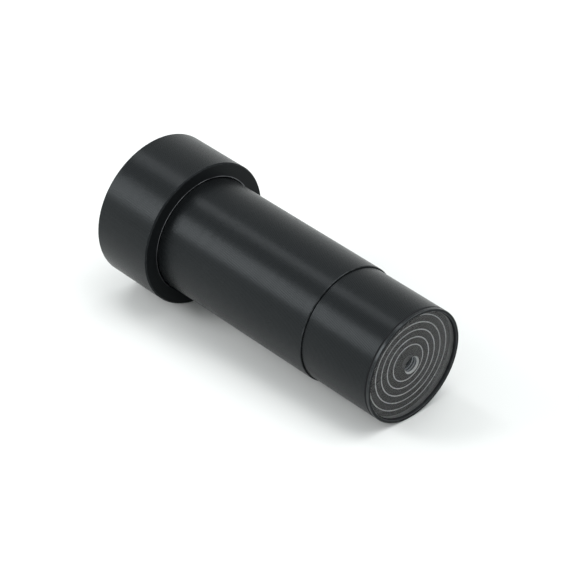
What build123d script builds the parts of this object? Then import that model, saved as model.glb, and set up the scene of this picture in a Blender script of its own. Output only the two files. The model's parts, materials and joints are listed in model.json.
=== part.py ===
"""A tubular viewing loupe: a wide eye cap with a cemented lens pair, a straight barrel, and a front cell that
holds a clear disc with five engraved rings and a centre hole.

The optical axis is X. The origin is on the axis, at the eye cap's front face, which is the shoulder that the
barrel is pushed in up to. The eye looks from the -X end towards the ring disc at the +X end. Z is up.
Every piece except the lens retaining ring's two spanner slots is a body of revolution, so each one is
drawn as a closed outline of (x, radius) points and turned about X.
"""

import math
import os

from build123d import *

# Outside sizes, in millimetres.
CAP_RADIUS = 20.0
CAP_LENGTH = 19.0
BARREL_RADIUS = 15.85
BARREL_LENGTH = 52.5
SLEEVE_RADIUS = 15.44
RIM_PLACE = 75.5  # the front rim, from the shoulder

# Small edge breaks.
CAP_REAR_CHAMFER = 0.35
CAP_FRONT_CHAMFER = 0.35
MOUTH_CHAMFER = 0.2
EDGE_BREAK = 0.12
JOINT_CHAMFER = 0.3  # each side of the V line between the bezel and the sleeve
END_CHAMFER = 0.4  # lead-in of a threaded spigot

# Threads. They are cut as rings of V grooves on the spigots; the threaded bores are plain, with running room.
PITCH = 0.75
THREAD_DEPTH = 0.32
THREAD_ROOM = 0.05
CAP_SPIGOT_RADIUS = 15.3
CAP_SPIGOT_END = -7.0
SLEEVE_SPIGOT_RADIUS = 14.6
SLEEVE_SPIGOT_END = 46.5

# O-rings and their grooves.
O_RING_SECTION = 0.45  # radius of the rubber
O_RING_ROOM = 0.05
CAP_O_RING_X = -2.6
CAP_O_RING_RADIUS = 15.2  # to the middle of the rubber
SLEEVE_O_RING_X = 51.5
SLEEVE_O_RING_RADIUS = 14.5
GROOVE_HALF_WIDTH = 0.5

# Main tube.
TUBE_SHOULDER = -2.0  # where the neck starts, in front of the O-ring groove
NECK_RADIUS = 15.6  # inside the cap's mouth
TUBE_BORE_RADIUS = 14.0
FIELD_STOP_SEAT = 45.3
FIELD_STOP_THICKNESS = 1.0
FIELD_STOP_RADIUS = 13.0
FIELD_STOP_ROOM = 0.03

# Eye cap, inside.
CAP_MOUTH_RADIUS = 16.0
CAP_MOUTH_DEPTH = 2.2
CAP_INNER_WALL = -7.1
LENS_SEAT = -8.2
LENS_SEAT_RADIUS = 12.2
LENS_BORE_RADIUS = 13.05
RETAINER_SEAT = -13.6
RETAINER_BORE_RADIUS = 13.8
BOWL_BOTTOM = -16.2
BOWL_RIM_RADIUS = 17.2

# Eye lens: a cemented pair, crown to the eye, with a focal length of 82 mm.
LENS_RADIUS = 13.0
FLINT_FRONT = -7.9  # vertex
FLINT_THICKNESS = 2.5
CROWN_THICKNESS = 5.0
CEMENT = 0.02
REAR_CURVE = 51.5
CEMENTED_CURVE = 37.4
FRONT_CURVE = 105.2
GASKET_THICKNESS = 0.36
GASKET_INNER_RADIUS = 12.3
GASKET_OUTER_RADIUS = 12.95
RETAINER_REAR = -15.8
RETAINER_FRONT = -13.98
RETAINER_ROOM = 0.05
RETAINER_FLARE = 0.5
SLOT_WIDTH = 1.2
SLOT_DEPTH = 0.8

# Front cell: sleeve, bezel and the ring disc.
SLEEVE_SEAM = 0.05  # gap between the sleeve's shoulder and the barrel's front face
SLEEVE_BORE_RADIUS = 13.4
SLEEVE_LAND_RADIUS = 14.9
SEAT_ROOM = 0.1  # between a seat and what lies against it
BEZEL_LENGTH = 1.05
BEZEL_BORE_RADIUS = 14.6
BEZEL_SPIGOT_RADIUS = 14.98
CELL_BORE_RADIUS = 15.0
DISC_RADIUS = 14.55
DISC_THICKNESS = 3.0
DISC_RECESS = 0.76
DISC_HOLE_RADIUS = 2.0
DISC_HOLE_BEVEL = 0.4  # at the front face only
DISC_EDGE_BREAK = 0.15
RING_DIAMETERS = (10, 14, 18, 22, 26)
RING_WIDTH = 0.26
RING_DEPTH = 0.18
REST_ROOM = 0.02  # between pieces of one cell that rest against each other


def turned(outline):
    """The solid that a closed outline of (x, radius) points makes when it is turned about X."""
    return revolve(make_face(Polyline(*outline, close=True)), axis=Axis.X)


def v_grooves(start, end, crest):
    """Outline points of a thread's V grooves between two places on a spigot, from the rear to the front."""
    count = int((end - start) / PITCH)
    first = start + ((end - start) - count * PITCH) / 2
    points = []
    for turn in range(count):
        rear = first + turn * PITCH
        points += [
            (rear, crest),
            (rear + PITCH / 2, crest - THREAD_DEPTH),
        ]
    return points + [(first + count * PITCH, crest)]


def o_ring(place, radius):
    """A rubber ring of round section about X."""
    section = Pos(place, radius) * Circle(O_RING_SECTION)
    return revolve(section, axis=Axis.X)


def sphere_sag(curve, radius):
    """How far a sphere falls away from its vertex at a distance from the axis."""
    return curve - math.sqrt(curve**2 - radius**2)


def lens(rear_vertex, rear_bend, front_vertex, front_bend):
    """A round lens between two spherical faces. A bend is the face's curve, and it is positive when the face's
    edge lies further forward than its vertex."""

    def face_x(vertex, bend, radius):
        return vertex + math.copysign(sphere_sag(abs(bend), radius), bend)

    middle = LENS_RADIUS / 2
    rear_edge = (face_x(rear_vertex, rear_bend, LENS_RADIUS), LENS_RADIUS)
    front_edge = (face_x(front_vertex, front_bend, LENS_RADIUS), LENS_RADIUS)
    rear_middle = (face_x(rear_vertex, rear_bend, middle), middle)
    front_middle = (face_x(front_vertex, front_bend, middle), middle)
    outline = (
        ThreePointArc((rear_vertex, 0), rear_middle, rear_edge)
        + Line(rear_edge, front_edge)
        + ThreePointArc(front_edge, front_middle, (front_vertex, 0))
        + Line((front_vertex, 0), (rear_vertex, 0))
    )
    return revolve(make_face(outline), axis=Axis.X)


def eye_cap():
    """The wide turned cap: mouth for the barrel, female thread, lens seat, retaining ring bore and eye bowl."""
    rear = -CAP_LENGTH
    thread_bore = CAP_SPIGOT_RADIUS + THREAD_ROOM
    ring_bore = CAP_O_RING_RADIUS + O_RING_SECTION + O_RING_ROOM
    thread_mouth = CAP_O_RING_X - O_RING_SECTION - 2 * SEAT_ROOM
    return turned(
        [
            (rear, CAP_RADIUS - CAP_REAR_CHAMFER),
            (rear + CAP_REAR_CHAMFER, CAP_RADIUS),
            (-CAP_FRONT_CHAMFER, CAP_RADIUS),
            (0, CAP_RADIUS - CAP_FRONT_CHAMFER),
            (0, CAP_MOUTH_RADIUS + MOUTH_CHAMFER),
            (-MOUTH_CHAMFER, CAP_MOUTH_RADIUS),
            (-CAP_MOUTH_DEPTH, CAP_MOUTH_RADIUS),
            (-CAP_MOUTH_DEPTH, ring_bore),
            (thread_mouth, ring_bore),
            (thread_mouth, thread_bore),
            (CAP_INNER_WALL, thread_bore),
            (CAP_INNER_WALL, LENS_SEAT_RADIUS),
            (LENS_SEAT, LENS_SEAT_RADIUS),
            (LENS_SEAT, LENS_BORE_RADIUS),
            (RETAINER_SEAT, LENS_BORE_RADIUS),
            (RETAINER_SEAT, RETAINER_BORE_RADIUS),
            (BOWL_BOTTOM, RETAINER_BORE_RADIUS),
            (rear + EDGE_BREAK, BOWL_RIM_RADIUS),
            (rear, BOWL_RIM_RADIUS + EDGE_BREAK),
        ]
    )


def main_tube():
    """The barrel, with a threaded spigot, an O-ring groove and a short neck at the rear and a threaded mouth at
    the front."""
    groove_rear = CAP_O_RING_X - GROOVE_HALF_WIDTH
    groove_radius = CAP_O_RING_RADIUS - O_RING_SECTION - O_RING_ROOM
    mouth_radius = SLEEVE_O_RING_RADIUS + O_RING_SECTION + O_RING_ROOM
    mouth_rear = SLEEVE_O_RING_X - GROOVE_HALF_WIDTH - SEAT_ROOM
    thread_bore = SLEEVE_SPIGOT_RADIUS + THREAD_ROOM
    spigot = v_grooves(CAP_SPIGOT_END + END_CHAMFER, groove_rear, CAP_SPIGOT_RADIUS)
    return turned(
        [
            (CAP_SPIGOT_END, TUBE_BORE_RADIUS),
            (CAP_SPIGOT_END, CAP_SPIGOT_RADIUS - END_CHAMFER),
            (CAP_SPIGOT_END + END_CHAMFER, CAP_SPIGOT_RADIUS),
            *spigot,
            (groove_rear, CAP_SPIGOT_RADIUS),
            (groove_rear, groove_radius),
            (TUBE_SHOULDER, groove_radius),
            (TUBE_SHOULDER, NECK_RADIUS - EDGE_BREAK),
            (TUBE_SHOULDER + EDGE_BREAK, NECK_RADIUS),
            (0, NECK_RADIUS),
            (0, BARREL_RADIUS - EDGE_BREAK),
            (EDGE_BREAK, BARREL_RADIUS),
            (BARREL_LENGTH - EDGE_BREAK, BARREL_RADIUS),
            (BARREL_LENGTH, BARREL_RADIUS - EDGE_BREAK),
            (BARREL_LENGTH, mouth_radius),
            (mouth_rear, mouth_radius),
            (mouth_rear, thread_bore),
            (FIELD_STOP_SEAT, thread_bore),
            (FIELD_STOP_SEAT, TUBE_BORE_RADIUS),
        ]
    )


def front_sleeve():
    """The slightly slimmer front tube, with a threaded spigot at the rear and the disc cell's bore at the front."""
    shoulder = BARREL_LENGTH + SLEEVE_SEAM
    front = RIM_PLACE - BEZEL_LENGTH
    disc_seat = RIM_PLACE - DISC_RECESS - DISC_THICKNESS - REST_ROOM
    groove_rear = SLEEVE_O_RING_X - GROOVE_HALF_WIDTH
    groove_front = SLEEVE_O_RING_X + GROOVE_HALF_WIDTH
    groove_radius = SLEEVE_O_RING_RADIUS - O_RING_SECTION - O_RING_ROOM
    spigot = v_grooves(SLEEVE_SPIGOT_END + END_CHAMFER, groove_rear, SLEEVE_SPIGOT_RADIUS)
    return turned(
        [
            (SLEEVE_SPIGOT_END, SLEEVE_BORE_RADIUS),
            (SLEEVE_SPIGOT_END, SLEEVE_SPIGOT_RADIUS - END_CHAMFER),
            (SLEEVE_SPIGOT_END + END_CHAMFER, SLEEVE_SPIGOT_RADIUS),
            *spigot,
            (groove_rear, SLEEVE_SPIGOT_RADIUS),
            (groove_rear, groove_radius),
            (groove_front, groove_radius),
            (groove_front, SLEEVE_LAND_RADIUS),
            (shoulder, SLEEVE_LAND_RADIUS),
            (shoulder, SLEEVE_RADIUS),
            (front - JOINT_CHAMFER, SLEEVE_RADIUS),
            (front, SLEEVE_RADIUS - JOINT_CHAMFER),
            (front, CELL_BORE_RADIUS),
            (disc_seat, CELL_BORE_RADIUS),
            (disc_seat, SLEEVE_BORE_RADIUS),
        ]
    )


def front_bezel():
    """The thin ring at the front rim. The disc is bonded into its bore, and its spigot is pushed into the sleeve."""
    joint = RIM_PLACE - BEZEL_LENGTH
    spigot_end = RIM_PLACE - DISC_RECESS - DISC_THICKNESS + SEAT_ROOM
    return turned(
        [
            (spigot_end, BEZEL_BORE_RADIUS),
            (spigot_end, BEZEL_SPIGOT_RADIUS),
            (joint, BEZEL_SPIGOT_RADIUS),
            (joint, SLEEVE_RADIUS - JOINT_CHAMFER),
            (joint + JOINT_CHAMFER, SLEEVE_RADIUS),
            (RIM_PLACE - EDGE_BREAK, SLEEVE_RADIUS),
            (RIM_PLACE, SLEEVE_RADIUS - EDGE_BREAK),
            (RIM_PLACE, BEZEL_BORE_RADIUS + EDGE_BREAK),
            (RIM_PLACE - EDGE_BREAK, BEZEL_BORE_RADIUS),
        ]
    )


def ring_disc():
    """The clear disc, with its centre hole and the five square grooves of the ring pattern in its rear face."""
    front = RIM_PLACE - DISC_RECESS
    rear = front - DISC_THICKNESS
    grooves = []
    for diameter in RING_DIAMETERS:
        inner = diameter / 2 - RING_WIDTH / 2
        outer = diameter / 2 + RING_WIDTH / 2
        grooves += [
            (rear, inner),
            (rear + RING_DEPTH, inner),
            (rear + RING_DEPTH, outer),
            (rear, outer),
        ]
    return turned(
        [
            (front, DISC_HOLE_RADIUS + DISC_HOLE_BEVEL),
            (front - DISC_HOLE_BEVEL, DISC_HOLE_RADIUS),
            (rear, DISC_HOLE_RADIUS),
            *grooves,
            (rear, DISC_RADIUS),
            (front - DISC_EDGE_BREAK, DISC_RADIUS),
            (front, DISC_RADIUS - DISC_EDGE_BREAK),
        ]
    )


def ring_line(diameter):
    """The paint that fills one engraved ring."""
    rear = RIM_PLACE - DISC_RECESS - DISC_THICKNESS
    inner = diameter / 2 - RING_WIDTH / 2 + REST_ROOM
    outer = diameter / 2 + RING_WIDTH / 2 - REST_ROOM
    return turned(
        [
            (rear, inner),
            (rear + RING_DEPTH - REST_ROOM, inner),
            (rear + RING_DEPTH - REST_ROOM, outer),
            (rear, outer),
        ]
    )


def field_stop():
    """The thin stop ring at the bottom of the tube's front mouth."""
    rear = FIELD_STOP_SEAT
    outer = SLEEVE_SPIGOT_RADIUS + THREAD_ROOM - FIELD_STOP_ROOM
    front = rear + FIELD_STOP_THICKNESS
    return turned(
        [
            (rear, FIELD_STOP_RADIUS + FIELD_STOP_THICKNESS / 2),
            (rear, outer),
            (front, outer),
            (front, FIELD_STOP_RADIUS),
            (front - FIELD_STOP_THICKNESS / 2, FIELD_STOP_RADIUS),
        ]
    )


def lens_gasket():
    """The flat ring between the lens seat and the flint."""
    front = LENS_SEAT - REST_ROOM
    rear = front - GASKET_THICKNESS
    return turned(
        [
            (rear, GASKET_INNER_RADIUS),
            (rear, GASKET_OUTER_RADIUS),
            (front, GASKET_OUTER_RADIUS),
            (front, GASKET_INNER_RADIUS),
        ]
    )


def lens_retaining_ring():
    """The threaded ring that clamps the lens from the rear, with two spanner slots across its rear face."""
    crest = RETAINER_BORE_RADIUS - RETAINER_ROOM
    ring = turned(
        [
            (RETAINER_REAR, LENS_SEAT_RADIUS + RETAINER_FLARE),
            (RETAINER_REAR, crest - EDGE_BREAK),
            (RETAINER_REAR + EDGE_BREAK, crest),
            (RETAINER_FRONT - EDGE_BREAK, crest),
            (RETAINER_FRONT, crest - EDGE_BREAK),
            (RETAINER_FRONT, LENS_SEAT_RADIUS),
            (RETAINER_REAR + RETAINER_FLARE, LENS_SEAT_RADIUS),
        ]
    )
    slot = Box(2 * SLOT_DEPTH, 2 * RETAINER_BORE_RADIUS, SLOT_WIDTH)
    return ring - Pos(RETAINER_REAR, 0, 0) * slot


flint_rear = FLINT_FRONT - FLINT_THICKNESS
crown_front = flint_rear - CEMENT
crown_rear = crown_front - CROWN_THICKNESS

parts = {
    "eye_cap": eye_cap(),
    "eye_lens_crown": lens(crown_rear, REAR_CURVE, crown_front, -CEMENTED_CURVE),
    "eye_lens_flint": lens(flint_rear, -CEMENTED_CURVE, FLINT_FRONT, -FRONT_CURVE),
    "lens_gasket": lens_gasket(),
    "lens_retaining_ring": lens_retaining_ring(),
    "cap_o_ring": o_ring(CAP_O_RING_X, CAP_O_RING_RADIUS),
    "main_tube": main_tube(),
    "field_stop": field_stop(),
    "sleeve_o_ring": o_ring(SLEEVE_O_RING_X, SLEEVE_O_RING_RADIUS),
    "front_sleeve": front_sleeve(),
    "front_bezel": front_bezel(),
    "ring_disc": ring_disc(),
}
for ring_diameter in RING_DIAMETERS:
    parts[f"ring_line_{ring_diameter}mm"] = ring_line(ring_diameter)

os.makedirs("parts", exist_ok=True)
for node, solid in parts.items():
    export_step(solid, f"parts/{node}.step")
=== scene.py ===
"""Looks for the viewing loupe.

Every round piece is turned again from its CAD outline, with rounded edges, helical threads and its own
surface, and it replaces the CAD node that it was read from. The lens retaining ring stays the CAD node, with a
material.
"""

import json
import math

import bpy
import numpy as np
from mathutils import Matrix, Vector


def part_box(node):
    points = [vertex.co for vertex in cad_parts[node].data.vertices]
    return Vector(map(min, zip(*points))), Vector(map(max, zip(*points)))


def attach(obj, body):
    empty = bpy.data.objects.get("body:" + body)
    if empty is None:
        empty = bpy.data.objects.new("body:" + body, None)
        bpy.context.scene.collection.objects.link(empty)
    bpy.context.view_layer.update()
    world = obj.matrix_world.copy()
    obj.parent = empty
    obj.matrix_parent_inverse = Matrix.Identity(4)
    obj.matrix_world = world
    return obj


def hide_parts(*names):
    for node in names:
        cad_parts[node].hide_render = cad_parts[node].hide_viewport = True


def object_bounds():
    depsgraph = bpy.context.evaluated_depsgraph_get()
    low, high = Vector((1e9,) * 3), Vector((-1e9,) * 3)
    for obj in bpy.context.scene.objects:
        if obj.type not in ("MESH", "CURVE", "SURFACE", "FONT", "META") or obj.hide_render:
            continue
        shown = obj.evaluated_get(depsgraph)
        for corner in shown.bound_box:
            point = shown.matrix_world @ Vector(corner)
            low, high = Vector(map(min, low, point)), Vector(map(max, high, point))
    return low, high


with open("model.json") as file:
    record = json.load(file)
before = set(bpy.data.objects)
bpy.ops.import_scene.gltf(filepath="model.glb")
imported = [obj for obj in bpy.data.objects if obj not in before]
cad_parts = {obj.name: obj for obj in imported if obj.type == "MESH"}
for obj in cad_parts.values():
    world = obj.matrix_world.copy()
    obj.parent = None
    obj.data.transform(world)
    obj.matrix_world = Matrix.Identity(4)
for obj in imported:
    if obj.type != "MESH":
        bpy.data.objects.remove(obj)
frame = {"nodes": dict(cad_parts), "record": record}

MM = 0.001
cad_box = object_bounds()

# Meshes.
SEGMENTS = 256  # round the axis
SAME_PLACE = 0.002 * MM  # outline points nearer than this are one
METAL_ROUNDING = 0.16 * MM
GLASS_ROUNDING = 0.04 * MM
PAINT_ROUNDING = 0.05 * MM
PAINT_GROWTH = 0.026 * MM  # paint fills its groove and grips the walls
ARC_STEPS = 5
STRAIGHT = math.radians(1)  # a corner that turns less than this isn't one
LONGEST_STEP = 2.5 * MM  # of a straight run along an outline
SHORTEST_SHARE = 0.45  # of a short side that a corner's rounding may take
FACE_STEPS = 28  # along a lens face, from the axis to the edge
THREAD_STEPS = 24  # in one turn's length
THREAD_FADE = 0.5  # turns that a thread takes to reach its depth
THREAD_MARGIN = 0.05 * MM
MATE_ROOM = 0.1 * MM  # a bore this much over a spigot's crest is its mate
VEE_FLAT = 0.12  # share of a thread's slope that is flat at the crest and at the root

# Where one surface ends and the next begins. A direction is a part of a unit normal.
ALONG = 0.9  # over this a face looks along the direction
MOSTLY = 0.75  # over this the middle of a face looks along the direction
WALL = 0.99  # a plain wall looks away from the axis, or towards it
SLOPED = 0.2  # over this, along the axis, a face is a bevel
V_SLOPE = 0.25
RIM_LIP = 1.05 * MM  # from the rim back to the V line
V_LINE_REACH = 0.32 * MM
LIGHT_PATH_DEPTH = 0.8 * MM  # steps this deep in the innermost bore face the light path too

# Tool marks and a painted highlight band.
FEED = 0.4 * MM  # of the turning tool, for each turn
FEED_DRIFT = 0.1 * MM
RIDGE_ROUGHNESS = 0.52  # what the ridges, the bands and the cloud each add, from nothing to this
BAND_ROUGHNESS = 0.03
CLOUD_ROUGHNESS = 0.03
BARREL_ROOM = 0.15 * MM  # between the barrel and the cap's mouth
# Width of the painted highlight band round the cap's mouth.
HIGHLIGHT_BAND_WIDTH = 0.45 * MM

# Floor and lights.
FLOOR_HALF_WIDTH = 2.0
FLOOR_SQUARES = 8
HORIZON = (1.24, 1.28, 1.27, 1)
ZENITH = (0.70, 0.73, 0.73, 1)
ZENITH_FROM = 0.75  # height of a unit direction
SKY_STEPS = ((0.18, 1.08), (0.40, 0.82))  # height and brightness in between
SKY_HUE = (0.97, 1.0, 0.995)

# Camera, in metres in the row frame: a long lens, well back.
CAMERA_PLACE = Vector((0.40670, -0.37265, 0.35876))
CAMERA_AIM = Vector((0.03214, -0.00026, -0.00027))
CAMERA_LENS = 159.07
SENSOR_WIDTH = 36.0


# ---------------------------------------------------------------- outlines


def outline_of(node):
    """A turned CAD node's outline as (x, radius) corners in order, counter-clockwise with the radius up.

    Where the piece reaches the axis the outline is open, and it starts at the front.
    """
    mesh = frame["nodes"][node].data
    points = np.array([vertex.co for vertex in mesh.vertices])
    rows = np.column_stack((points[:, 0], np.hypot(points[:, 1], points[:, 2])))
    keys = [tuple(key) for key in np.round(rows / SAME_PLACE).astype(int)]
    place = dict(zip(keys, rows))
    near = {key: set() for key in keys}
    for edge in mesh.edges:
        a, b = (keys[i] for i in edge.vertices)
        if a != b:
            near[a].add(b)
            near[b].add(a)
    ends = [key for key in near if len(near[key]) == 1]
    chain = [max(ends or near)]
    while True:
        left = [key for key in near[chain[-1]] if key not in chain]
        if not left:
            break
        chain.append(left[0])
    corners = np.array([place[key] for key in chain])
    if not ends and turned_area(corners) < 0:
        corners = corners[::-1]
    return corners


def turned_area(corners):
    """Twice the area inside a closed outline, positive when it runs counter-clockwise."""
    x, r = corners.T
    return float(x @ np.roll(r, -1) - r @ np.roll(x, -1))


def unit(vector):
    return vector / np.linalg.norm(vector)


def turn_at(before, corner, after):
    """The angle that an outline turns by at a corner, positive to the left."""
    arriving = unit(corner - before)
    leaving = unit(after - corner)
    return math.atan2(arriving[0] * leaving[1] - arriving[1] * leaving[0], float(arriving @ leaving))


def neighbours(corners):
    return np.roll(corners, 1, axis=0), np.roll(corners, -1, axis=0)


def split_thread(corners):
    """The outline without its V grooves, and the thread that they stand for, or None."""
    before, after = neighbours(corners)
    level = np.abs(before[:, 1] - after[:, 1]) < SAME_PLACE
    sunk = before[:, 1] - corners[:, 1] > SAME_PLACE
    middle = np.abs(before[:, 0] + after[:, 0] - 2 * corners[:, 0]) < 2 * SAME_PLACE
    roots = level & sunk & middle
    thread = None
    if roots.sum() > 2:
        places = np.sort(corners[roots][:, 0])
        pitch = float(places[1] - places[0])
        thread = {
            "crest": float(before[roots][0][1]),
            "depth": float(before[roots][0][1] - corners[roots][0][1]),
            "pitch": pitch,
            "phase": float(places[0]),
            "start": float(places[0] - pitch / 2),
            "end": float(places[-1] + pitch / 2),
        }
        corners = corners[~roots]
    before, after = neighbours(corners)
    bent = [abs(turn_at(*three)) > STRAIGHT for three in zip(before, corners, after)]
    return corners[bent], thread


def corner_rows(before, corner, after, radius):
    """Rows that turn one corner.

    A row is (x, radius, normal x, normal radius, edge lightening for worn metal and painted sheen, thread
    depth, thread turn).
    """
    arriving = unit(corner - before)
    turn = turn_at(before, corner, after)
    side = math.copysign(1, turn)
    slope = math.tan(abs(turn) / 2)
    shortest = min(np.linalg.norm(corner - before), np.linalg.norm(after - corner))
    reach = min(radius * slope, SHORTEST_SHARE * shortest)
    bend = reach / slope
    first = math.atan2(-arriving[0], arriving[1])
    centre = corner - arriving * reach - side * bend * np.array((math.cos(first), math.sin(first)))
    rows = []
    for step in range(ARC_STEPS + 1):
        share = step / ARC_STEPS
        normal = np.array((math.cos(first + turn * share), math.sin(first + turn * share)))
        # Convex rounded edges are made lighter, as worn metal and painted sheen.
        wear_and_sheen = math.sin(math.pi * share) if turn > 0 else 0.0
        rows.append((*(centre + side * bend * normal), *normal, wear_and_sheen, 0.0, 0.0))
    return rows


def thread_on(start, end, normal, threads):
    """The thread that is cut on this straight run, with its ends there, or None."""
    low, high = sorted((start[0], end[0]))
    for thread in threads:
        over = start[1] - thread["crest"]
        outside = normal[1] > WALL and abs(over) < SAME_PLACE
        inside = normal[1] < -WALL and SAME_PLACE < over < MATE_ROOM
        inset = THREAD_FADE * thread["pitch"] if inside else 0.0
        first = max(low + THREAD_MARGIN, thread["start"] + inset)
        last = min(high - THREAD_MARGIN, thread["end"] - inset)
        if (outside or inside) and last - first > 2 * thread["pitch"]:
            return {**thread, "start": first, "end": last}
    return None


def run_rows(last, following, threads):
    """Rows along the straight run between two corners."""
    start, end, normal = np.array(last[:2]), np.array(following[:2]), last[2:4]
    thread = thread_on(start, end, normal, threads)
    if thread is None:
        count = int(np.linalg.norm(end - start) / LONGEST_STEP)
        shares = [step / (count + 1) for step in range(1, count + 1)]
        return [(*(start + (end - start) * share), *normal, 0.0, 0.0, 0.0) for share in shares]
    pitch = thread["pitch"]
    count = round((thread["end"] - thread["start"]) / pitch * THREAD_STEPS)
    rows = []
    for x in np.linspace(thread["start"], thread["end"], count + 1):
        from_end = min(x - thread["start"], thread["end"] - x)
        deep = min(1.0, from_end / pitch / THREAD_FADE)
        rows.append((x, start[1], *normal, 0.0, thread["depth"] * deep, (x - thread["phase"]) / pitch))
    return rows if end[0] > start[0] else rows[::-1]


def closed_rows(corners, radius, threads=()):
    """A closed outline's rows, with every corner rounded."""
    before, after = neighbours(corners)
    arcs = [corner_rows(*three, radius) for three in zip(before, corners, after)]
    rows = []
    for arc, following in zip(arcs, arcs[1:] + arcs[:1]):
        rows += arc + run_rows(arc[-1], following[0], threads)
    return rows


def face_rows(vertex, edge):
    """Rows of a spherical lens face that looks forward, from its vertex out to its edge."""
    sag = edge[0] - vertex[0]
    curve = (edge[1] ** 2 + sag**2) / (2 * sag)
    steep = math.asin(edge[1] / abs(curve))
    rows = []
    for angle in np.linspace(0, steep, FACE_STEPS + 1):
        tilt = -math.copysign(math.sin(angle), curve)
        x = vertex[0] + curve * (1 - math.cos(angle))
        rows.append((x, abs(curve) * math.sin(angle), math.cos(angle), tilt, 0.0, 0.0, 0.0))
    return rows


def lens_rows(corners):
    """Rows of a lens: its front face, its rounded rim and its rear face."""
    rim = corners[corners[:, 1] > corners[:, 1].max() - SAME_PLACE]
    front_edge = rim[np.argmax(rim[:, 0])]
    rear_edge = rim[np.argmin(rim[:, 0])]
    front = face_rows(corners[0], front_edge)[:-1]
    rear = [
        (x, r, -nx, -nr, wear_and_sheen, depth, turn)
        for x, r, nx, nr, wear_and_sheen, depth, turn in reversed(face_rows(corners[-1], rear_edge)[:-1])
    ]
    front_arc = corner_rows(np.array(front[-1][:2]), front_edge, rear_edge, GLASS_ROUNDING)
    rear_arc = corner_rows(front_edge, rear_edge, np.array(rear[0][:2]), GLASS_ROUNDING)
    return front + front_arc + rear_arc + rear


def vee(turns):
    """A thread's profile, from 0 at the crest to 1 at the root, which is at whole turns."""
    rise = np.abs(2 * np.mod(turns, 1) - 1)
    return np.clip((rise - VEE_FLAT) / (1 - 2 * VEE_FLAT), 0, 1)


def ring_faces(rows, on_axis, sizes, finish):
    """The faces between each ring of points and the next, and their material numbers."""
    first = np.concatenate(([0], np.cumsum(sizes)))

    def corner(row, segment):
        return int(first[row]) + (0 if on_axis[row] else segment % SEGMENTS)

    faces, numbers = [], []
    for row in range(len(rows) - 1 if on_axis.any() else len(rows)):
        following = (row + 1) % len(rows)
        number = finish(rows[row], rows[following]) if finish else 0
        for segment in range(SEGMENTS):
            face = [corner(row, segment), corner(following, segment)]
            if not on_axis[following]:
                face.append(corner(following, segment + 1))
            if not on_axis[row]:
                face.append(corner(row, segment + 1))
            faces.append(face)
            numbers.append(number)
    return faces, numbers


def turned_mesh(name, rows, finish=None):
    """A mesh of revolution about X from outline rows.

    finish(row, next row) gives a face's material number. Rows on the axis become single points, and they are
    the two ends of an open outline.
    """
    x, r, nx, nr, wear_and_sheen, depth, turn = np.array(rows).T
    angle = np.arange(SEGMENTS) * 2 * math.pi / SEGMENTS
    radius = r[:, None] - depth[:, None] * vee(turn[:, None] - angle / (2 * math.pi))
    spokes = np.stack((np.cos(angle), np.sin(angle)), axis=-1)
    one_each = (*radius.shape, 1)
    places = np.concatenate((np.broadcast_to(x[:, None, None], one_each), radius[..., None] * spokes), axis=2)
    along = np.gradient(places, axis=0)
    around = np.roll(places, -1, axis=1) - np.roll(places, 1, axis=1)
    threaded = np.cross(along, around)
    plain = np.concatenate((np.broadcast_to(nx[:, None, None], one_each), nr[:, None, None] * spokes), axis=2)
    normals = np.where(depth[:, None, None] > 0, threaded, plain)
    on_axis = r < SAME_PLACE
    sizes = np.where(on_axis, 1, SEGMENTS)
    faces, numbers = ring_faces(rows, on_axis, sizes, finish)
    keep = [(row, slice(0, size)) for row, size in enumerate(sizes)]
    mesh = bpy.data.meshes.new(name)
    mesh.from_pydata(np.concatenate([places[k] for k in keep]).tolist(), [], faces)
    mesh.polygons.foreach_set("material_index", numbers)
    mesh.polygons.foreach_set("use_smooth", [True] * len(faces))
    # Per point: how much lighter a rounded edge is made, as worn metal and painted sheen.
    attribute = mesh.attributes.new("edge_wear_and_sheen", "FLOAT", "POINT")
    attribute.data.foreach_set("value", np.repeat(wear_and_sheen, sizes))
    mesh.update()
    straight = np.concatenate([normals[k] for k in keep])
    straight /= np.linalg.norm(straight, axis=1)[:, None]
    mesh.normals_split_custom_set_from_vertices(straight.tolist())
    return mesh


# ---------------------------------------------------------------- materials


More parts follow.
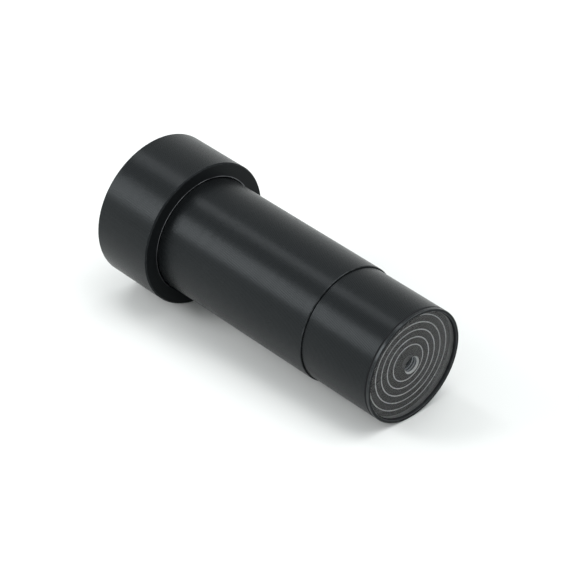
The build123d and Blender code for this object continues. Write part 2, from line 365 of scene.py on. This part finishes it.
class Surface:
    """A material whose nodes are added and linked in one call each."""

    def __init__(self, name, **constants):
        self.material = bpy.data.materials.new(name)
        self.material.use_nodes = True
        self.tree = self.material.node_tree
        self.shader = self.tree.nodes["Principled BSDF"]
        for socket, value in constants.items():
            self.shader.inputs[socket.replace("_", " ")].default_value = value

    def node(self, kind, inputs, output=0, **settings):
        """Adds a node, with its inputs by name or number, and returns one of its outputs."""
        node = self.tree.nodes.new(kind)
        for setting, value in settings.items():
            setattr(node, setting, value)
        for socket, value in inputs.items():
            self.feed(node.inputs[socket], value)
        return node.outputs[output]

    def feed(self, socket, value):
        if isinstance(value, bpy.types.NodeSocket):
            self.tree.links.new(value, socket)
        else:
            socket.default_value = value

    def set(self, **inputs):
        for socket, value in inputs.items():
            self.feed(self.shader.inputs[socket.replace("_", " ")], value)

    def math(self, operation, *values):
        return self.node("ShaderNodeMath", dict(enumerate(values)), operation=operation)

    def place(self):
        """The point on the piece, in metres in the row frame."""
        return self.node("ShaderNodeTexCoord", {}, output="Object")

    def noise(self, scale, detail=2.0, roughness=0.5):
        sockets = {"Vector": self.place(), "Scale": scale, "Detail": detail, "Roughness": roughness}
        return self.node("ShaderNodeTexNoise", sockets)

    def radius(self):
        """The distance from the axis."""
        flat = self.node("ShaderNodeVectorMath", {0: self.place(), 1: (0, 1, 1)}, operation="MULTIPLY")
        return self.node("ShaderNodeVectorMath", {0: flat}, output="Value", operation="LENGTH")

    def lathe_path(self):
        """How far a turning tool has come: along the axis on a wall, and outwards on a flat face."""
        along = self.node("ShaderNodeSeparateXYZ", {0: self.place()}, output="X")
        return self.math("ADD", along, self.radius())

    def lines(self, spacing, detail=1.0):
        """Noise along the tool's path: rings that are about this far apart."""
        sockets = {"W": self.lathe_path(), "Scale": 1 / spacing, "Detail": detail}
        return self.node("ShaderNodeTexNoise", sockets, noise_dimensions="1D")

    def feed_marks(self):
        """The even ridges of a turning tool's feed, from 0 to 1.

        They drift a little round the piece, and their height changes along it.
        """
        path = self.math("MULTIPLY_ADD", self.noise(45.0), FEED_DRIFT, self.lathe_path())
        wave = self.math("SINE", self.math("MULTIPLY", path, 2 * math.pi / FEED))
        uneven = self.math("MULTIPLY_ADD", self.lines(5 * FEED, 2.0), 0.3, 0.35)
        height = self.math("MULTIPLY", wave, uneven)
        return self.math("MULTIPLY_ADD", height, 0.5, 0.5)

    def blend(self, share, low, high):
        """A colour or a number between two others."""
        if isinstance(low, tuple):
            sockets = {0: share, 6: (*low, 1.0), 7: (*high, 1.0)}
            return self.node("ShaderNodeMix", sockets, output=2, data_type="RGBA")
        return self.node("ShaderNodeMix", {0: share, 2: low, 3: high})

    def tint(self, share, colour, other):
        """A linked colour with a share of another one laid over it."""
        sockets = {0: share, 6: colour, 7: (*other, 1.0)}
        return self.node("ShaderNodeMix", sockets, output=2, data_type="RGBA")

    def between(self, value, low, high):
        """0 where a value is under low and 1 where it is over high."""
        return self.node("ShaderNodeMapRange", {"Value": value, "From Min": low, "From Max": high})

    def bump(self, height, distance, normal=None):
        """A normal that is bent by a height of up to this distance, on top of another normal."""
        sockets = {"Height": height, "Distance": distance, "Strength": 1.0}
        if normal is not None:
            sockets["Normal"] = normal
        return self.node("ShaderNodeBump", sockets)

    def worn_edge_and_sheen(self, spread):
        """The rounded edges, broken up by noise, which are made lighter as worn metal and painted edge sheen.
        """
        edge = self.node("ShaderNodeAttribute", {}, output="Fac", attribute_name="edge_wear_and_sheen")
        return self.math("MULTIPLY", edge, self.between(self.noise(spread, 4.0), 0.42, 0.62))


def painted_highlight_band(surface, hole_radius):
    """A patchy painted highlight band round a hole, from 0 to 1, strongest on the upper side, where the light
    falls.
    """
    outer = hole_radius + HIGHLIGHT_BAND_WIDTH
    inner = hole_radius + 0.6 * HIGHLIGHT_BAND_WIDTH
    # A painted highlight band just outside the hole's edge, made lighter on the upper side where the light
    # falls.
    hole_band = surface.between(surface.radius(), outer, inner)
    height = surface.node("ShaderNodeSeparateXYZ", {0: surface.place()}, output="Z")
    upper = surface.between(height, -0.8 * hole_radius, hole_radius)
    patchy = surface.math("MULTIPLY", upper, surface.between(surface.noise(160.0, 3.0), 0.25, 0.60))
    return surface.math("MULTIPLY", hole_band, patchy)


def anodised(name, roughness, index, ridge, wear_and_sheen_share, highlight_hole_radius=None):
    """Satin black anodised aluminium with the ridges that the turning tool left, this high.

    The fifth argument is how much lighter the rounded edges are made, as worn metal and painted sheen. The
    sixth, if given, is the radius of a hole whose edge gets a painted highlight band, strongest on its upper
    side. The ridges' valleys are painted darker as shade, and their crests lighter as sheen.
    """
    surface = Surface(name, IOR=index, Specular_Tint=(0.90, 0.985, 1.03, 1.0))
    surface.set(Anisotropic=0.35, Anisotropic_Rotation=0.25)
    ridges = surface.feed_marks()
    bands = surface.lines(1.3 * MM, 3.0)
    cloud = surface.noise(90.0, 3.0)
    # Painted shade in the ridges' valleys and painted sheen on their crests; the cloud varies the tone at
    # random.
    shaded_valley = surface.blend(cloud, (0.0015, 0.0020, 0.0022), (0.0028, 0.0034, 0.0037))
    dye_and_painted_light = surface.tint(surface.between(ridges, 0.42, 0.62), shaded_valley, (0.0090, 0.0102, 0.0112))
    # A painted highlight band round the hole's edge.
    if highlight_hole_radius:
        dye_and_painted_light = surface.tint(painted_highlight_band(surface, highlight_hole_radius), dye_and_painted_light, (0.34, 0.35, 0.37))
    # Rounded edges made lighter: worn metal and painted edge sheen.
    edge = surface.math("MULTIPLY", surface.worn_edge_and_sheen(900.0), wear_and_sheen_share)
    surface.set(Base_Color=surface.tint(edge, dye_and_painted_light, (0.075, 0.076, 0.080)))
    least = roughness - (RIDGE_ROUGHNESS + BAND_ROUGHNESS + CLOUD_ROUGHNESS) / 2
    rough = surface.math("MULTIPLY_ADD", ridges, RIDGE_ROUGHNESS, least)
    rough = surface.math("MULTIPLY_ADD", bands, BAND_ROUGHNESS, rough)
    surface.set(Roughness=surface.math("MULTIPLY_ADD", cloud, CLOUD_ROUGHNESS, rough))
    fine = surface.bump(surface.noise(7000.0), 0.0012 * MM)
    scored = surface.bump(surface.lines(0.9 * MM, 3.0), 0.0015 * MM, normal=fine)
    surface.set(Normal=surface.bump(ridges, ridge, normal=scored))
    surface.set(Tangent=surface.node("ShaderNodeTangent", {}, direction_type="RADIAL", axis="X"))
    return surface.material


def flat_black(name):
    """Matt black lacquer inside the tubes and on lens rims, slightly dusty. In the V line at the rim it is
    painted shade.
    """
    surface = Surface(name, IOR=1.5, Specular_IOR_Level=0.08)
    dust = surface.between(surface.noise(2600.0, 5.0), 0.60, 0.75)
    surface.set(Base_Color=surface.blend(dust, (0.020, 0.021, 0.023), (0.032, 0.032, 0.033)))
    surface.set(Roughness=surface.blend(surface.noise(300.0), 0.62, 0.75))
    surface.set(Normal=surface.bump(surface.noise(5200.0, 3.0), 0.006 * MM))
    return surface.material


def clear_plastic(name, index, clear):
    """Polished acrylic, with weak reflections. What isn't clear is a thin haze of wiping marks and dust."""
    surface = Surface(name, IOR=index, Transmission_Weight=clear, Specular_Tint=(0.17, 0.17, 0.17, 1.0))
    smear = surface.between(surface.noise(240.0, 6.0, 0.7), 0.52, 0.78)
    surface.set(Base_Color=surface.blend(smear, (0.90, 0.905, 0.90), (0.86, 0.865, 0.86)))
    surface.set(Roughness=surface.blend(smear, 0.0, 0.02))
    surface.set(Normal=surface.bump(surface.noise(160.0), 0.0006 * MM))
    return surface.material


def bored_plastic(name):
    """The wall of the disc's hole: cleanly bored, so it stays clear behind fine tool rings."""
    surface = Surface(name, IOR=1.49, Transmission_Weight=0.85)
    rings = surface.lines(0.15 * MM, 3.0)
    surface.set(Base_Color=surface.blend(rings, (0.66, 0.70, 0.74), (0.86, 0.90, 0.94)))
    surface.set(Roughness=surface.blend(rings, 0.10, 0.20))
    surface.set(Normal=surface.bump(rings, 0.004 * MM))
    return surface.material


def sawn_plastic(name):
    """The disc's turned rim, frosted by the tool, so that it catches light from inside."""
    surface = Surface(name, IOR=1.49, Transmission_Weight=0.55)
    rings = surface.lines(0.18 * MM, 3.0)
    surface.set(Base_Color=surface.blend(rings, (0.36, 0.37, 0.37), (0.62, 0.64, 0.64)))
    surface.set(Roughness=surface.blend(rings, 0.38, 0.60))
    surface.set(Normal=surface.bump(rings, 0.012 * MM))
    return surface.material


def optical_glass(name, index, tint):
    """A polished, coated lens face with the faintest bloom."""
    surface = Surface(name, IOR=index, Transmission_Weight=1.0, Specular_Tint=(0.30, 0.33, 0.40, 1.0))
    surface.set(Thin_Film_Thickness=105.0, Thin_Film_IOR=1.38)
    bloom = surface.between(surface.noise(190.0, 5.0, 0.65), 0.55, 0.85)
    surface.set(Roughness=surface.blend(bloom, 0.0, 0.03))
    surface.set(Base_Color=surface.blend(bloom, tint, (0.93, 0.93, 0.93)))
    return surface.material


def cement(name):
    """The cemented faces, which light crosses without turning."""
    surface = Surface(name, IOR=1.0, Transmission_Weight=1.0, Roughness=0.0, Specular_IOR_Level=0.0)
    surface.set(Base_Color=surface.blend(surface.noise(300.0), (0.985, 0.975, 0.95), (0.99, 0.985, 0.965)))
    return surface.material


def ring_paint(name):
    """Pale grey paint wiped into the engraved rings, thin in places."""
    surface = Surface(name, IOR=1.5, Specular_IOR_Level=0.3)
    patch = surface.between(surface.noise(1500.0, 4.0), 0.35, 0.70)
    surface.set(Base_Color=surface.blend(patch, (0.44, 0.45, 0.46), (0.66, 0.67, 0.68)))
    surface.set(Roughness=surface.blend(patch, 0.75, 0.55))
    surface.set(Normal=surface.bump(surface.noise(4000.0, 3.0), 0.004 * MM))
    return surface.material


def rubber(name):
    """Greased black rubber with a faint bloom."""
    surface = Surface(name, IOR=1.52, Sheen_Weight=0.08, Sheen_Roughness=0.5)
    bloom = surface.between(surface.noise(700.0, 5.0), 0.45, 0.75)
    surface.set(Base_Color=surface.blend(bloom, (0.010, 0.010, 0.010), (0.030, 0.030, 0.032)))
    surface.set(Roughness=surface.blend(bloom, 0.42, 0.68))
    surface.set(Normal=surface.bump(surface.noise(5200.0, 3.0), 0.006 * MM))
    return surface.material


def pale_floor(name):
    """Matt paper: almost white, with a little fibre."""
    surface = Surface(name, IOR=1.45, Specular_IOR_Level=0.12)
    cloud = surface.noise(14.0, 4.0)
    surface.set(Base_Color=surface.blend(cloud, (0.765, 0.775, 0.770), (0.795, 0.805, 0.800)))
    surface.set(Roughness=surface.blend(cloud, 0.85, 0.95))
    surface.set(Normal=surface.bump(surface.noise(3000.0, 3.0), 0.01 * MM))
    return surface.material


# ---------------------------------------------------------------- pieces

record = frame["record"]
body_of = {node: body for body, nodes in record["behaviour"]["bodies"].items() for node in nodes}
slot_of = {entry["node"]: entry["material_slot"] for entry in record["subparts"]}

anodised_outside = anodised("black_anodised", 0.34, 1.26, 0.030 * MM, 0.5)
anodised_bezel = anodised("black_anodised_fine", 0.27, 1.36, 0.004 * MM, 0.6)
anodised_faced = anodised("black_anodised_faced", 0.44, 1.19, 0.004 * MM, 0.4)
anodised_bevel = anodised("black_anodised_bevel", 0.22, 1.42, 0.002 * MM, 0.6)
# The cap's mouth gets a painted highlight band round its hole.
mouth_radius = BARREL_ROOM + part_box("main_tube")[1].z
anodised_mouth_highlight = anodised("black_anodised_mouth", 0.44, 1.19, 0.004 * MM, 0.4, mouth_radius)
# Black lacquer for the bores and lens rims, and painted shade in the V line at the rim.
lacquer_and_painted_shade = flat_black("flat_black")
rubber_material = rubber("black_rubber")
acrylic_front = clear_plastic("clear_acrylic", 1.49, 0.982)
# The disc's rear face has no reflection of its own, which would only be noise in front of the dark tube.
acrylic_rear = clear_plastic("clear_acrylic_rear", 1.0, 1.0)
acrylic_rim = sawn_plastic("clear_acrylic_turned")
acrylic_bore = bored_plastic("clear_acrylic_bored")
paint = ring_paint("ring_paint")
cement_material = cement("lens_cement")
glass_of = {
    "eye_lens_crown": optical_glass("crown_glass", 1.517, (0.985, 0.99, 0.98)),
    "eye_lens_flint": optical_glass("flint_glass", 1.62, (0.985, 0.985, 0.975)),
}

outlines = {}
threads = []
for node in frame["nodes"]:
    if node == "lens_retaining_ring":
        continue
    corners = outline_of(node)
    if slot_of[node] != "lens_glass":
        corners, thread = split_thread(corners)
        if thread:
            threads.append(thread)
    outlines[node] = corners


def add_piece(node, rows, materials, finish=None):
    """Shows a turned mesh in place of its CAD node."""
    name = f"{node}_turned"
    piece = bpy.data.objects.new(name, turned_mesh(name, rows, finish))
    bpy.context.scene.collection.objects.link(piece)
    for material in materials:
        piece.data.materials.append(material)
    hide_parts(node)
    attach(piece, body_of[node])


def metal_finish(corners):
    """Number 1 is matt lacquer on the bores that face the light path, and painted shade in the V line at the
    rim.

    Number 2 is for faces that were cut square across the axis, 3 for bevels, and 0 for the rest.
    """
    light_path = corners[:, 1].min() + LIGHT_PATH_DEPTH
    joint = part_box("front_bezel")[1].x - RIM_LIP

    def finish(row, following):
        across = min(abs(row[2]), abs(following[2]))
        if max(row[3], following[3]) < -ALONG and max(row[1], following[1]) < light_path:
            return 1
        # The V line at the rim gets the black lacquer as painted shade.
        if abs((row[0] + following[0]) / 2 - joint) < V_LINE_REACH and across > V_SLOPE:
            return 1
        if across > ALONG:
            return 2
        return 3 if across > SLOPED else 0

    return finish


def disc_finish(corners):
    """Number 1 is for the disc's rim and the bevel of its hole, and 2 for the wall of the hole.

    Number 3 is for the face that the rings are cut in, and 0 for the front face.
    """
    hole = corners[:, 1].min() + SAME_PLACE
    rim = corners[:, 1].max() - SAME_PLACE
    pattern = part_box("ring_line_10mm")[1].z - MM

    def finish(row, following):
        if max(row[1], following[1]) < hole:
            return 2
        if (row[2] + following[2]) / 2 < -MOSTLY:
            return 3
        bevel = max(row[1], following[1]) < pattern and 0.5 < row[2] < ALONG
        return 1 if bevel or min(row[1], following[1]) > rim else 0

    return finish


def lens_finish(cemented_forward):
    """Number 1 for the lacquered rim and 2 for the cemented face of a lens."""

    def finish(row, following):
        if abs(row[3]) > ALONG:
            return 1
        forward = row[2] + following[2] > 0
        return 2 if forward == cemented_forward else 0

    return finish


for node, corners in outlines.items():
    slot = slot_of[node]
    if slot == "black_anodised":
        rows = closed_rows(corners, METAL_ROUNDING, threads)
        outside = anodised_bezel if node == "front_bezel" else anodised_outside
        faced = anodised_mouth_highlight if node == "eye_cap" else anodised_faced
        bevel = anodised_faced if node == "eye_cap" else anodised_bevel
        materials = [outside, lacquer_and_painted_shade, faced, bevel]
        add_piece(node, rows, materials, metal_finish(corners))
    elif slot == "black_rubber":
        add_piece(node, closed_rows(corners, GLASS_ROUNDING), [rubber_material])
    elif slot == "clear_acrylic":
        materials = [acrylic_front, acrylic_rim, acrylic_bore, acrylic_rear]
        add_piece(node, closed_rows(corners, GLASS_ROUNDING), materials, disc_finish(corners))
    elif slot == "ring_paint":
        centre = corners.mean(axis=0)
        grown = corners + np.sign(corners - centre) * PAINT_GROWTH
        add_piece(node, closed_rows(grown, PAINT_ROUNDING), [paint])
    else:
        materials = [glass_of[node], lacquer_and_painted_shade, cement_material]
        add_piece(node, lens_rows(corners), materials, lens_finish(node == "eye_lens_crown"))

retainer = frame["nodes"]["lens_retaining_ring"]
retainer.data.materials.clear()
retainer.data.materials.append(anodised_outside)

# ---------------------------------------------------------------- studio

cap_low, cap_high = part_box("eye_cap")
rim_low, rim_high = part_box("front_bezel")
tilt = math.atan2(rim_low.z - cap_low.z, rim_high.x - cap_high.x)
floor_turn = Matrix.Rotation(-tilt, 4, "Y")
contact = Vector((cap_high.x, 0, cap_low.z))
centre = (cad_box[0] + cad_box[1]) / 2


def add_floor():
    """A wide sheet that touches the cap's front edge and the front rim."""
    across = FLOOR_SQUARES + 1
    grid = np.linspace(-FLOOR_HALF_WIDTH, FLOOR_HALF_WIDTH, across)
    points = [(x, y, 0.0) for x in grid for y in grid]
    starts = [i * across + j for i in range(FLOOR_SQUARES) for j in range(FLOOR_SQUARES)]
    faces = [(start, start + across, start + across + 1, start + 1) for start in starts]
    mesh = bpy.data.meshes.new("floor")
    mesh.from_pydata(points, [], faces)
    mesh.materials.append(pale_floor("pale_floor"))
    floor = bpy.data.objects.new("floor", mesh)
    floor.matrix_world = Matrix.Translation(contact) @ floor_turn
    bpy.context.scene.collection.objects.link(floor)


def look_from(place, aim, up):
    """A matrix at a place whose -Z axis points at the aim."""
    back = (place - aim).normalized()
    right = up.cross(back).normalized()
    turn = Matrix((right, back.cross(right), back)).transposed().to_4x4()
    return Matrix.Translation(place) @ turn


def add_softbox(name, azimuth, elevation, distance, width, height, radiance):
    """An area light above the floor in a given direction from the piece, of a given radiance."""
    flat = math.cos(math.radians(elevation))
    way = Vector((
        flat * math.cos(math.radians(azimuth)),
        flat * math.sin(math.radians(azimuth)),
        math.sin(math.radians(elevation)),
    ))
    light = bpy.data.lights.new(name, "AREA")
    light.shape = "RECTANGLE"
    light.size = width
    light.size_y = height
    light.energy = radiance * math.pi * width * height
    lamp = bpy.data.objects.new(name, light)
    lamp.visible_camera = False
    up = floor_turn.to_3x3() @ Vector((0, 0, 1))
    lamp.matrix_world = look_from(centre + floor_turn.to_3x3() @ way * distance, centre, up)
    bpy.context.scene.collection.objects.link(lamp)


def add_world():
    """A white horizon behind the piece that fades to grey overhead. The camera itself sees plain white."""
    world = bpy.data.worlds.new("studio")
    world.use_nodes = True
    tree = world.node_tree
    background = tree.nodes["Background"]
    coordinates = tree.nodes.new("ShaderNodeTexCoord")
    axes = tree.nodes.new("ShaderNodeSeparateXYZ")
    fade = tree.nodes.new("ShaderNodeValToRGB")
    path = tree.nodes.new("ShaderNodeLightPath")
    mix = tree.nodes.new("ShaderNodeMix")
    mix.data_type = "RGBA"
    ramp = fade.color_ramp
    ramp.elements[0].position = 0.0
    ramp.elements[0].color = HORIZON
    ramp.elements[1].position = ZENITH_FROM
    ramp.elements[1].color = ZENITH
    for height, brightness in SKY_STEPS:
        element = ramp.elements.new(height)
        element.color = (*(brightness * hue for hue in SKY_HUE), 1)
    tree.links.new(coordinates.outputs["Generated"], axes.inputs[0])
    tree.links.new(axes.outputs["Z"], fade.inputs["Fac"])
    tree.links.new(path.outputs["Is Camera Ray"], mix.inputs[0])
    tree.links.new(fade.outputs["Color"], mix.inputs[6])
    mix.inputs[7].default_value = (1, 1, 1, 1)
    tree.links.new(mix.outputs[2], background.inputs["Color"])
    bpy.context.scene.world = world


add_floor()
add_world()
add_softbox("overhead", azimuth=30, elevation=68, distance=0.8, width=0.7, height=0.7, radiance=2.5)
add_softbox("left_window", azimuth=-131, elevation=30, distance=0.7, width=0.30, height=0.32, radiance=8.0)
add_softbox("back_strip", azimuth=180, elevation=57, distance=0.7, width=0.15, height=0.36, radiance=4.0)

camera_data = bpy.data.cameras.new("camera")
camera_data.lens = CAMERA_LENS
camera_data.sensor_width = SENSOR_WIDTH
camera = bpy.data.objects.new("camera", camera_data)
camera.matrix_world = look_from(CAMERA_PLACE, CAMERA_AIM, floor_turn.to_3x3() @ Vector((0, 0, 1)))
bpy.context.scene.collection.objects.link(camera)
bpy.context.scene.camera = camera
bpy.context.scene.view_settings.view_transform = "Standard"
